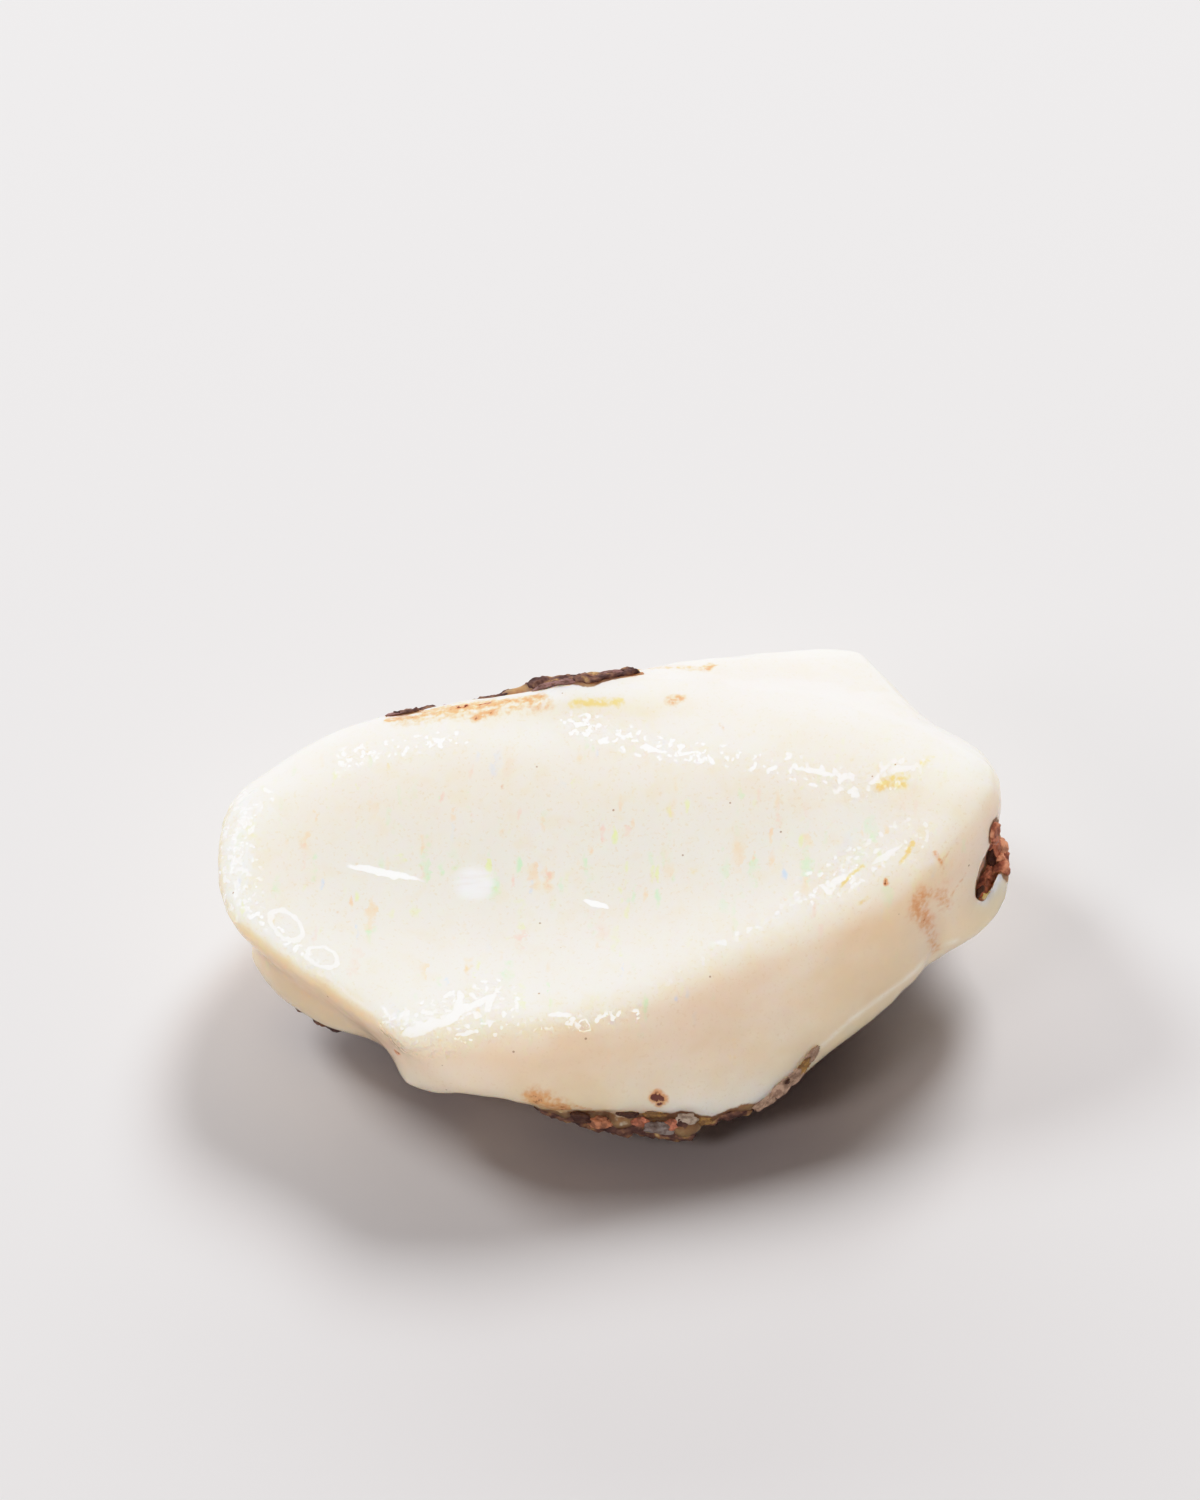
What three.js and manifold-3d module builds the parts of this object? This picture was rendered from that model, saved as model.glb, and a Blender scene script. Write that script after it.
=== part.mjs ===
// A rough white opal: one lump of milky opal, broken from its seam and worn smooth, with a long dish in its
// upper face, a step down at the back, a cleft at the right end, and scraps of brown host rock grown onto its
// underside and back. Millimetres, +Z up. X runs along the stone and Y from its front to its back. The origin
// is on the surface that the stone rests on, under the middle of its outline.
import * as THREE from "three";
import { ImprovedNoise } from "three/addons/math/ImprovedNoise.js";
import { mergeVertices } from "three/addons/utils/BufferGeometryUtils.js";
import Module from "manifold-3d";

// The stone's size.
const LENGTH = 56;
const DEPTH = 36.4;
const HEIGHT = 19;

// Places on the stone are shares of its size: x from -1 at the left end to 1 at the right, y from -1 at the
// front to 1 at the back, and z from 0 on the ground to 1 at the top.
const HALF = [LENGTH / 2, DEPTH / 2, HEIGHT];
const place = (x, y, z) => [x * HALF[0], y * HALF[1], z * HALF[2]];

// A direction, given by the way it points seen from above (0 right, 90 back, 180 left, 270 front) and by how
// far it tilts up from level.
function direction(around, up) {
  const a = THREE.MathUtils.degToRad(around);
  const e = THREE.MathUtils.degToRad(up);
  return [Math.cos(a) * Math.cos(e), Math.sin(a) * Math.cos(e), Math.sin(e)];
}

// A lump is what lies behind all of its faces. A face goes through a place and looks a way, and the edge
// where it meets its neighbours is worn: a greater edge is a rounder one.
const body = [
  { name: "upper face", at: place(0.52, 0.599, 0.962), way: direction(180, 85), edge: 2.5 },
  { name: "left top", at: place(-0.83, 0.534, 0.73), way: direction(165, 68), edge: 3 },
  { name: "left shoulder", at: place(-0.9, 0.496, 0.612), way: direction(128, 12), edge: 2.5 },
  { name: "back left", at: place(-0.55, 0.702, 0.73), way: direction(101, 22), edge: 2 },
  { name: "back right", at: place(0.52, 0.674, 0.835), way: direction(82, 25), edge: 2.5 },
  { name: "right shoulder", at: place(0.9, 0.515, 0.788), way: direction(45, 42), edge: 3 },
  { name: "right end", at: place(0.961, 0.295, 0.614), way: direction(3, -10), edge: 2.5 },
  { name: "right front", at: place(0.92, -0.075, 0.452), way: direction(322, 10), edge: 2.5 },
  { name: "front right foot", at: place(0.523, -0.613, 0.264), way: direction(309, 6), edge: 1.5 },
  { name: "front right", at: place(0.5, -0.383, 0.753), way: direction(286, 34), edge: 2 },
  { name: "front", at: place(-0.04, -0.943, 0.162), way: direction(269, 17), edge: 2 },
  { name: "front left", at: place(-0.612, -0.67, 0.495), way: direction(229, -18), edge: 1.2 },
  { name: "left end", at: place(-1, 0, 0.579), way: direction(180, 0), edge: 2 },
  { name: "left end underside", at: place(-0.91, 0.112, 0.324), way: direction(172, -50), edge: 3 },
  { name: "left underside", at: place(-0.71, -0.168, 0.197), way: direction(205, -62), edge: 3 },
  { name: "front left underside", at: place(-0.396, -0.89, 0.308), way: direction(262, -50), edge: 1 },
  { name: "front underside", at: place(0.071, -0.923, 0.216), way: direction(254, -57), edge: 1 },
  { name: "right underside", at: place(0.514, -0.612, 0.197), way: direction(322, -57), edge: 1.5 },
  { name: "right end underside", at: place(0.89, 0.112, 0.313), way: direction(0, -60), edge: 3 },
  { name: "back underside", at: place(0, 0.673, 0.255), way: direction(90, -50), edge: 3 },
];
const backLump = [
  { name: "back top", at: place(0.25, 0.907, 0.817), way: direction(85, 75), edge: 2.5 },
  { name: "back wall", at: place(0.29, 1.066, 0.476), way: direction(92, 8), edge: 2.5 },
  { name: "back right wall", at: place(0.73, 0.851, 0.476), way: direction(30, 10), edge: 2 },
  { name: "back left wall", at: place(-0.04, 0.907, 0.476), way: direction(113, 15), edge: 2.5 },
  { name: "back foot", at: place(0.29, 0.907, 0.352), way: direction(92, -50), edge: 3 },
  { name: "left foot", at: place(-0.3, 0.702, 0.415), way: direction(190, -12), edge: 4 },
  { name: "inner side", at: place(0.3, 0.608, 0.498), way: direction(270, 0), edge: 1 },
];

// The dish is the other way round: round it, the stone is what lies behind any one of these faces, and the
// corner between two of them is filled in by a worn hollow.
const dish = [
  { name: "floor", at: place(0, -0.224, 0.556), way: direction(190, 88), edge: 1 },
  { name: "left far wall", at: place(-0.39, 0.506, 0.811), way: direction(268, 60), edge: 7 },
  { name: "right far wall", at: place(0.35, 0.253, 0.921), way: direction(254, 60), edge: 5 },
  { name: "right near wall", at: place(0.43, -0.39, 0.673), way: direction(140, 72), edge: 5 },
  { name: "left near wall", at: place(-0.29, -0.785, 0.579), way: direction(120, 79), edge: 4 },
  { name: "left wall", at: place(-0.94, 0.084, 0.57), way: direction(10, 68), edge: 4 },
];

// Round forms that swell from the stone or are hollowed out of it: ellipsoids, with the half lengths of their
// axes in millimetres, turned about Z and then rolled about their own X, in degrees.
const swellings = [
  { name: "left ledge", at: place(-0.739, -0.28, 0.3), half: [6.2, 2.6, 2.6], turn: -37, roll: 0 },
  { name: "snout", at: place(-0.45, -0.692, 0.305), half: [2.9, 2.3, 2.2], turn: 0, roll: 0 },
  { name: "right foot", at: place(0.75, -0.033, 0.295), half: [2.6, 2.2, 2.2], turn: -20, roll: 0 },
  { name: "right lobe", at: place(0.861, 0.121, 0.421), half: [3.7, 4.8, 3], turn: -22, roll: 0 },
];
const hollows = [
  { name: "fold", at: place(0.818, -0.253, 0.484), half: [0.9, 1.3, 5], turn: 0, roll: 0 },
];

// Sharp-edged breaks, cut from the stone: the cleft beside the right lobe, and the scars of old breaks on the
// back and underneath. Detail is how finely each one's surface is faceted.
const breaks = [
  { name: "cleft", at: place(0.939, 0.088, 0.558), half: [0.65, 3.2, 2.4], turn: -18, roll: 25, detail: 4 },
  { name: "back scar", at: place(0.16, 1.253, 0.422), half: [10, 5.5, 6], turn: 6, roll: -20, detail: 6 },
  { name: "left back scar", at: place(-0.62, 0.963, 0.276), half: [9, 5, 5], turn: 16, roll: -25, detail: 6 },
  { name: "left scar", at: place(-0.589, 0.192, -0.026), half: [7, 6, 4], turn: -25, roll: 0, detail: 5 },
];
const BREAK_ROUGHNESS = 0.12;

// How roundly the forms run into each other: a greater number is a softer hollow or edge between them.
const LUMPS_MEET = 1.5;
const DISH_RIM = 1.5;
const SWELLING_MEETS = 1.2;
const HOLLOW_MEETS = 0.8;

// Wear leaves the faces slightly wavy: each wave has a length across the stone and a height.
const waves = [
  { length: 9, height: 0.35 },
  { length: 4, height: 0.16 },
];

// The host rock left on the stone: rows of rough scraps from one place to another, each scrap with its half
// lengths along the row, across it and upward. They lie under the front edge, under the right edge, along the
// upper back edge, on the back and under the left end.
const crust = [
  { from: place(-0.164, -0.813, 0.237), to: place(-0.05, -0.819, 0.153), scraps: 3, half: [1.5, 1.1, 0.9] },
  { from: place(0.018, -0.824, 0.153), to: place(0.15, -0.841, 0.132), scraps: 3, half: [1.6, 1.3, 1] },
  { from: place(0.229, -0.819, 0.163), to: place(0.304, -0.791, 0.184), scraps: 2, half: [1, 0.8, 0.7] },
  { from: place(0.382, -0.643, 0.168), to: place(0.461, -0.56, 0.216), scraps: 3, half: [1.3, 1.1, 0.9] },
  { from: place(-0.58, 0.664, 0.638), to: place(-0.26, 0.758, 0.696), scraps: 4, half: [2.2, 1, 1.2] },
  { from: place(-0.2, 0.786, 0.719), to: place(0.02, 0.851, 0.707), scraps: 4, half: [2, 1, 1.2] },
  { from: place(-0.5, 0.795, 0.51), to: place(-0.12, 0.87, 0.533), scraps: 3, half: [2.8, 1.1, 2] },
  { from: place(-0.55, -0.187, 0.116), to: place(-0.4, 0.187, 0.058), scraps: 2, half: [2.4, 2, 1.2] },
];
const CRUST_DETAIL = 2;
const CRUST_ROUGHNESS = 0.45;
const CRUST_STRAY = 0.5;

// How many bumps an uneven ball has: the length of noise that its radius spans.
const GRAIN = 1.7;

// The least number that anything is divided by.
const LEAST = 1e-6;

// A smooth change from one value to another takes the greater one, and more where they are nearly alike.
function smoothLargest(a, b, blend) {
  const near = Math.max(blend - Math.abs(a - b), 0) / blend;
  return Math.max(a, b) + (near * near * blend) / 4;
}

const smoothLeast = (a, b, blend) => -smoothLargest(-a, -b, blend);

function beyondFace(p, { at, way }) {
  return (p[0] - at[0]) * way[0] + (p[1] - at[1]) * way[1] + (p[2] - at[2]) * way[2];
}

function beyondLump(p, faces) {
  let far = beyondFace(p, faces[0]);
  for (const face of faces.slice(1)) far = smoothLargest(far, beyondFace(p, face), face.edge);
  return far;
}

function beyondDish(p) {
  let far = beyondFace(p, dish[0]);
  for (const face of dish.slice(1)) far = smoothLeast(far, beyondFace(p, face), face.edge);
  return far;
}

// An ellipsoid with its own axes, so that a point can be measured along them.
function withAxes(form) {
  const turn = THREE.MathUtils.degToRad(form.turn);
  const roll = THREE.MathUtils.degToRad(form.roll);
  const matrix = new THREE.Matrix4().makeRotationFromEuler(new THREE.Euler(roll, 0, turn, "ZYX"));
  const axes = [0, 1, 2].map((i) => new THREE.Vector3().setFromMatrixColumn(matrix, i).toArray());
  return { ...form, axes };
}

function beyondEllipsoid(p, { at, half, axes }) {
  const d = p.map((v, i) => v - at[i]);
  let square = 0;
  let steepness = 0;
  axes.forEach((axis, i) => {
    const q = (d[0] * axis[0] + d[1] * axis[1] + d[2] * axis[2]) / half[i];
    square += q * q;
    steepness += (q / half[i]) ** 2;
  });
  const k = Math.sqrt(square);
  return (k * (k - 1)) / Math.max(Math.sqrt(steepness), LEAST);
}

const swellingForms = swellings.map(withAxes);
const hollowForms = hollows.map(withAxes);
const noise = new ImprovedNoise();

// How far a point is outside the stone, in millimetres; less than 0 inside it.
function outside(p) {
  let far = smoothLargest(beyondLump(p, body), beyondDish(p), DISH_RIM);
  far = smoothLeast(far, beyondLump(p, backLump), LUMPS_MEET);
  for (const form of swellingForms) far = smoothLeast(far, beyondEllipsoid(p, form), SWELLING_MEETS);
  for (const form of hollowForms) far = smoothLargest(far, -beyondEllipsoid(p, form), HOLLOW_MEETS);
  for (const { length, height } of waves) {
    far += height * noise.noise(p[0] / length, p[1] / length, p[2] / length);
  }
  return far;
}

// The stone's surface starts as a ball of evenly spaced points inside it. Round by round, each point moves
// halfway to the middle of its neighbours, and then onto the stone's surface.
const BALL_DETAIL = 15;
const BALL = [0.95, 0.85, 0.45];
const ROUNDS = 40;
const LAST_ROUNDS = 3;
const SLOPE_STEP = 0.05;
const LEAST_SLOPE = 0.1;

function slopeAt(p) {
  return p.map((_, i) => {
    const ahead = [...p];
    const behind = [...p];
    ahead[i] += SLOPE_STEP;
    behind[i] -= SLOPE_STEP;
    return (outside(ahead) - outside(behind)) / (2 * SLOPE_STEP);
  });
}

function drawnOntoStone(p) {
  const far = outside(p);
  const slope = slopeAt(p);
  const square = Math.max(slope[0] ** 2 + slope[1] ** 2 + slope[2] ** 2, LEAST_SLOPE);
  return p.map((v, i) => v - (far * slope[i]) / square);
}

function withoutSeams(geometry) {
  geometry.deleteAttribute("normal");
  geometry.deleteAttribute("uv");
  return mergeVertices(geometry);
}

function pointsOf(geometry) {
  const position = geometry.attributes.position;
  const point = new THREE.Vector3();
  return Array.from({ length: position.count }, (_, i) => point.fromBufferAttribute(position, i).toArray());
}

function neighboursOf(geometry) {
  const index = geometry.index.array;
  const sets = pointsOf(geometry).map(() => new Set());
  for (let i = 0; i < index.length; i += 3) {
    for (const [a, b] of [[0, 1], [1, 2], [2, 0]]) {
      sets[index[i + a]].add(index[i + b]);
      sets[index[i + b]].add(index[i + a]);
    }
  }
  return sets.map((set) => [...set]);
}

function halfwayToNeighbours(p, near, points) {
  return p.map((v, k) => {
    const middle = near.reduce((sum, n) => sum + points[n][k], 0) / near.length;
    return (v + middle) / 2;
  });
}

function withPoints(geometry, points) {
  const moved = geometry.clone();
  moved.setAttribute("position", new THREE.Float32BufferAttribute(points.flat(), 3));
  return moved;
}

function wornStone() {
  const ball = withoutSeams(new THREE.IcosahedronGeometry(1, BALL_DETAIL));
  const neighbours = neighboursOf(ball);
  const middle = place(0, 0, 0.5);
  let points = pointsOf(ball).map((p) => p.map((v, k) => middle[k] + v * BALL[k] * HALF[k]));
  for (let round = 0; round < ROUNDS; round++) {
    points = points.map((p, i) => drawnOntoStone(halfwayToNeighbours(p, neighbours[i], points)));
  }
  for (let round = 0; round < LAST_ROUNDS; round++) points = points.map(drawnOntoStone);
  return withPoints(ball, points);
}

// A closed ball, flattened to its half lengths and pushed in and out unevenly, by where it is.
function unevenBall(at, half, detail, roughness) {
  const ball = withoutSeams(new THREE.IcosahedronGeometry(1, detail));
  const points = pointsOf(ball).map((p) => {
    const grain = p.map((v, k) => v * GRAIN + at[k]);
    const push = 1 + roughness * noise.noise(...grain);
    return p.map((v, k) => v * half[k] * push);
  });
  return withPoints(ball, points);
}

function breakBall({ at, half, turn, roll, detail }) {
  const ball = unevenBall(at, half, detail, BREAK_ROUGHNESS);
  ball.rotateX(THREE.MathUtils.degToRad(roll));
  ball.rotateZ(THREE.MathUtils.degToRad(turn));
  ball.translate(...at);
  return ball;
}

// A scrap of crust is turned along its row, and set a little off the row's line.
function crustScrap(middle, half, turn) {
  const scrap = unevenBall(middle, half, CRUST_DETAIL, CRUST_ROUGHNESS);
  const stray = middle.map((v) => CRUST_STRAY * noise.noise(v, v / 2, v / 3));
  scrap.rotateZ(turn);
  scrap.translate(...middle.map((v, k) => v + stray[k]));
  return scrap;
}

function crustRow({ from, to, scraps, half }) {
  const turn = Math.atan2(to[1] - from[1], to[0] - from[0]);
  return Array.from({ length: scraps }, (_, i) => {
    const share = i / (scraps - 1);
    const middle = from.map((v, k) => v + share * (to[k] - v));
    return crustScrap(middle, half, turn);
  });
}

const wasm = await Module();
wasm.setup();

function solidOf(geometry) {
  return new wasm.Manifold(
    new wasm.Mesh({
      numProp: 3,
      vertProperties: new Float32Array(geometry.attributes.position.array),
      triVerts: new Uint32Array(geometry.index.array),
    }),
  );
}

function geometryOf(solid) {
  const mesh = solid.getMesh();
  const geometry = new THREE.BufferGeometry();
  geometry.setAttribute("position", new THREE.BufferAttribute(mesh.vertProperties, 3));
  geometry.setIndex(new THREE.BufferAttribute(mesh.triVerts, 1));
  return geometry;
}

// The stone rests on a flat break: whatever lies below the ground is cut away.
function cutFlat(solid) {
  const ground = new THREE.BoxGeometry(2 * LENGTH, 2 * DEPTH, HEIGHT);
  ground.translate(0, 0, -HEIGHT / 2);
  return solid.subtract(solidOf(withoutSeams(ground)));
}

let stone = solidOf(wornStone());
for (const form of breaks) stone = stone.subtract(solidOf(breakBall(form)));
for (const scrap of crust.flatMap(crustRow)) stone = stone.add(solidOf(scrap));
const geometry = geometryOf(cutFlat(stone));
geometry.computeBoundingBox();
const middle = geometry.boundingBox.getCenter(new THREE.Vector3());

const opal = new THREE.Mesh(
  geometry,
  new THREE.MeshStandardMaterial({ color: 0xefe9dc, roughness: 0.15, metalness: 0 }),
);
opal.name = "opal";
opal.position.set(-middle.x, -middle.y, 0);

const specimen = new THREE.Group();
specimen.add(opal);

export default specimen;
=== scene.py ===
import math

import bpy
import numpy as np
from mathutils import Matrix, Vector, noise
from mathutils.bvhtree import BVHTree


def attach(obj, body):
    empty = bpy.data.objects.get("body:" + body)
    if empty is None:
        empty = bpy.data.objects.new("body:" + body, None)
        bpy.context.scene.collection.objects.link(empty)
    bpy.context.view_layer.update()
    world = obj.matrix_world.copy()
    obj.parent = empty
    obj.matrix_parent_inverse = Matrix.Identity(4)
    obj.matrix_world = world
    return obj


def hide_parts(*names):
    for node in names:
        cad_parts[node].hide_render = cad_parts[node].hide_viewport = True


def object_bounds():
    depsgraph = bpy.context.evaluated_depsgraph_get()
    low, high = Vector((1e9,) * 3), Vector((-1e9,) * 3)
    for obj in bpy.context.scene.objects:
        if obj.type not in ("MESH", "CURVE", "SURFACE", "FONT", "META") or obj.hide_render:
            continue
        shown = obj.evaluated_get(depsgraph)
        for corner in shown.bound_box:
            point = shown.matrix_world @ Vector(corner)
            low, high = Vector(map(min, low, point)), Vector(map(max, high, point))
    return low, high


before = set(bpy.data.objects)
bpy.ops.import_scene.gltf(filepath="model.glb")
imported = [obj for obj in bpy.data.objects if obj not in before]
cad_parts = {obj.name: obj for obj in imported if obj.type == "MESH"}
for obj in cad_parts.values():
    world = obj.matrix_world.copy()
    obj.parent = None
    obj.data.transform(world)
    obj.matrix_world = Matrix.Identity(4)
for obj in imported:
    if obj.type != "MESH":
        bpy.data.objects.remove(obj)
cad_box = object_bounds()
MM = 0.001


# The opal. One lump of milky white opal, broken out of its seam and worn smooth. Its shape is the solid's
# own, copied, closed up and relaxed, so that the dish, the brow, the back lump and the cleft stay in place.
OPAL_VOXEL = 0.25 * MM
RELAX_ROUNDS = 10

bpy.ops.object.select_all(action="DESELECT")
opal = bpy.data.objects.new("opal_lump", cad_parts["opal"].data.copy())
opal.data.materials.clear()
bpy.context.collection.objects.link(opal)
bpy.context.view_layer.objects.active = opal
opal.select_set(True)
bpy.ops.object.mode_set(mode="EDIT")
bpy.ops.mesh.select_all(action="SELECT")
bpy.ops.mesh.remove_doubles(threshold=0.001 * MM)
bpy.ops.object.mode_set(mode="OBJECT")


def finish_with(piece, kind, **settings):
    """Adds a modifier to the piece and applies it."""
    bpy.context.view_layer.objects.active = piece
    modifier = piece.modifiers.new(kind.lower(), kind)
    for name, value in settings.items():
        setattr(modifier, name, value)
    bpy.ops.object.modifier_apply(modifier=modifier.name)


def points_of(piece):
    """The piece's points, in millimetres, one row each."""
    flat = np.empty(len(piece.data.vertices) * 3)
    piece.data.vertices.foreach_get("co", flat)
    return flat.reshape(-1, 3) / MM


def set_points(piece, points):
    """Moves the piece's points, and keeps them within the solid's own box and above the ground."""
    low, high = (np.array(corner) / MM for corner in cad_box)
    inside = np.clip(points, low, high)
    piece.data.vertices.foreach_set("co", (inside * MM).ravel())
    piece.data.update()


def normals_of(piece):
    flat = np.empty(len(piece.data.vertices) * 3)
    piece.data.vertex_normals.foreach_get("vector", flat)
    return flat.reshape(-1, 3)


def grain(points, length, seed=0.0, octaves=3):
    """Smooth noise from about -1 to 1 at each point. Its bumps are about length millimetres across."""
    shift = Vector((seed * 17.3, seed * 5.9, seed * 11.1))
    return np.array([noise.fractal(Vector(p) / length + shift, 1.0, 2.0, octaves) for p in points])


def ease(values, start, end):
    """0 before start and 1 after end, with a smooth change between them."""
    share = np.clip((values - start) / (end - start), 0, 1)
    return share * share * (3 - 2 * share)


finish_with(opal, "REMESH", mode="VOXEL", voxel_size=OPAL_VOXEL, use_smooth_shade=True)
finish_with(opal, "SMOOTH", factor=0.5, iterations=RELAX_ROUNDS)

# The way the specimen is seen: from the front, looking down. Marks on the stone are given as that view shows
# them, in millimetres to the right of and above the middle of its base.
VIEW_DOWN = math.radians(50)
VIEW_DISTANCE = 893.6
VIEW_MIDDLE = (-1.01, 15.07)
STONE_REACH = 40
view_right = Vector((1, 0, 0))
view_up = Vector((0, math.sin(VIEW_DOWN), math.cos(VIEW_DOWN)))
view_way = Vector((0, math.cos(VIEW_DOWN), -math.sin(VIEW_DOWN)))
eye = view_right * VIEW_MIDDLE[0] + view_up * VIEW_MIDDLE[1] - view_way * VIEW_DISTANCE


def surface_of(piece):
    return BVHTree.FromObject(piece, bpy.context.evaluated_depsgraph_get())


def seen_at(surface, across, up):
    """The place on the surface that the view shows there, in millimetres, and the way that it faces.
    Beside the stone, the nearest place on it."""
    target = view_right * across + view_up * up
    way = (target - eye).normalized()
    place, normal = surface.ray_cast(eye * MM, way)[:2]
    if place is None:
        middle = (target - eye).length
        steps = [(eye + way * (middle + step)) * MM for step in range(-STONE_REACH, STONE_REACH)]
        nearest = [surface.find_nearest(step) for step in steps]
        distances = [found[3] for found in nearest]
        place, normal = nearest[distances.index(min(distances))][:2]
    return np.array(place) / MM, normal


def near_line(points, start, end):
    """Each point's distance from the straight line between two places."""
    start, end = np.array(start), np.array(end)
    along = end - start
    length = max(along @ along, 1e-9)
    share = np.clip((points - start) @ along / length, 0, 1)
    return np.linalg.norm(points - start - share[:, None] * along, axis=1)


stone_surface = surface_of(opal)


def marked(points, marks):
    """How strongly the marks cover each point, from 0 to 1. A mark is a line between two places in the view,
    with its half width in millimetres and its strength."""
    cover = np.zeros(len(points))
    for x0, y0, x1, y1, half_width, strength in marks:
        start, end = seen_at(stone_surface, x0, y0)[0], seen_at(stone_surface, x1, y1)[0]
        distance = near_line(points, start, end)
        cover = np.maximum(cover, strength * np.exp(-(distance / half_width) ** 2))
    return cover


def keep_on(piece, name, values):
    """Keeps one number for each point of the piece, for its material to read."""
    attribute = piece.data.attributes.new(name, "FLOAT", "POINT")
    attribute.data.foreach_set("value", np.asarray(values, dtype=np.float32))


points = points_of(opal)
normals = normals_of(opal)

# The floor of the dish is smooth, and milkier and greyer than the rest.
dish_lines = [
    (-18.4, 6.7, -6.0, 7.6, 8.0, 1.0),
    (-6.0, 7.6, 8.0, 8.5, 6.5, 1.0),
    (-23.0, 10.1, -20.9, 4.4, 4.0, 0.8),
    (8.0, 8.5, 17.0, 9.7, 3.6, 1.0),
]
milky = marked(points, dish_lines)
keep_on(opal, "milky", milky)

# The play of colour is strongest in the lower left of the dish.
playful_lines = [
    (-22.3, 7.3, -3.9, 1.6, 6.0, 1.0),
    (-15.2, -1.2, 1.8, 0.2, 4.0, 1.0),
    (-3.9, 7.3, 17.4, 9.4, 6.0, 0.75),
    (-22.3, 12.2, 1.8, 12.2, 4.0, 0.55),
]
keep_on(opal, "playful", marked(points, playful_lines))

# The rim of the dish, its brow and its right end are hammered: small shallow facets that catch the light.
hammered_lines = [
    (-19.1, 14.6, -10.9, 16.0, 1.6, 0.7),
    (-2.9, 17.0, 3.5, 15.1, 1.5, 1.0),
    (3.5, 15.1, 11.4, 14.2, 1.5, 0.8),
    (11.4, 14.2, 16.9, 12.7, 1.3, 1.0),
    (16.9, 12.7, 21.3, 13.7, 1.6, 1.0),
    (21.1, 9.0, 14.3, 5.3, 2.0, 1.0),
    (14.3, 5.1, 3.0, -1.6, 1.5, 0.6),
    (-15.2, -5.1, -12.4, -5.1, 1.7, 1.9),
    (-12.4, -4.2, -8.7, -2.9, 1.9, 2.1),
    (-8.5, -4.8, 1.5, -3.7, 1.2, 0.7),
    (-26.9, 11.5, -26.5, 4.4, 2.6, 0.8),
    (-26.2, 4.4, -20.2, -1.2, 1.4, 0.6),
]
hammered = marked(points, hammered_lines)
keep_on(opal, "hammered", hammered)

# The floor of the dish is one clean curve: it is drawn most of the way to the smoothest surface through it.
DISH_HALF_LENGTH = 30
DISH_HALF_WIDTH = 20
CURVE_POWERS = 4
CURVE_SHARE = 0.92
along, across = points[:, 0] / DISH_HALF_LENGTH, points[:, 1] / DISH_HALF_WIDTH
curves = np.stack([along ** i * across ** j for i in range(CURVE_POWERS) for j in range(CURVE_POWERS - i)],
                  axis=1)
in_dish = np.clip(milky, 0, 1) * ease(normals[:, 2], 0.75, 0.92)
weight = in_dish[:, None] ** 2
best = np.linalg.lstsq(curves * weight, points[:, 2:] * weight, rcond=None)[0]
points[:, 2] += CURVE_SHARE * ease(in_dish, 0.1, 0.75) * ((curves @ best)[:, 0] - points[:, 2])

# Wear has left the faces slightly wavy, less so in the dish and not at all on the flat underneath.
WAVE_LENGTH, WAVE_HEIGHT = 3.6, 0.09
HAMMER_LENGTH, HAMMER_HEIGHT = 1.2, 0.085
SMOOTHER_IN_DISH = 0.85
clear_of_ground = ease(points[:, 2], 0.1, 1.5)
wide_waves = grain(points, WAVE_LENGTH, seed=1) * (1 - SMOOTHER_IN_DISH * np.clip(milky, 0, 1))
hammer_marks = grain(points, HAMMER_LENGTH, seed=2) * hammered
push = (WAVE_HEIGHT * wide_waves + HAMMER_HEIGHT * hammer_marks) * clear_of_ground
set_points(opal, points + normals * push[:, None])
points = points_of(opal)
normals = normals_of(opal)

# Painted shade: where a place faces sideways or down, the opal is painted deeper and yellower, as those faces
# look in shade, though less so at the right end.
less_shade_lines = [
    (24.9, 14.4, 25.6, 10.5, 4.5, 0.75),
    (25.6, 10.5, 23.1, 2.3, 3.8, 0.3),
    (-13.8, -8.0, -10.2, -8.3, 3.5, 0.5),
    (-14.1, -5.6, -5.3, -5.2, 1.5, 0.8),
    (5.4, -10.3, 10.5, -9.8, 2.4, 0.7),
]
painted_shade = ease(normals[:, 2], 0.80, 0.30) * (1 - marked(points, less_shade_lines))
keep_on(opal, "painted_shade", painted_shade)

# Painted light: thin worn edges are painted with a bright glow, as if light came through them: the long lower
# right edge, and the rim at the left.
glow_lines = [
    (24.2, 1.5, 20.6, -1.2, 0.28, 0.6),
    (20.6, -1.2, 16.7, -4.1, 0.24, 0.6),
    (16.7, -4.1, 14.7, -5.9, 0.2, 0.5),
    (-27.4, 8.0, -27.1, 4.1, 1.0, 0.5),
]
keep_on(opal, "painted_glow", marked(points, glow_lines))

# The left end is scuffed, with whitish scratches.
scuff_lines = [
    (-26.9, 9.0, -25.0, 11.9, 1.5, 0.7),
    (-25.0, 11.5, -23.0, 11.5, 1.2, 0.7),
    (-26.5, 9.4, -26.2, 5.5, 1.2, 0.6),
]
keep_on(opal, "scuffed", marked(points, scuff_lines))

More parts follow.
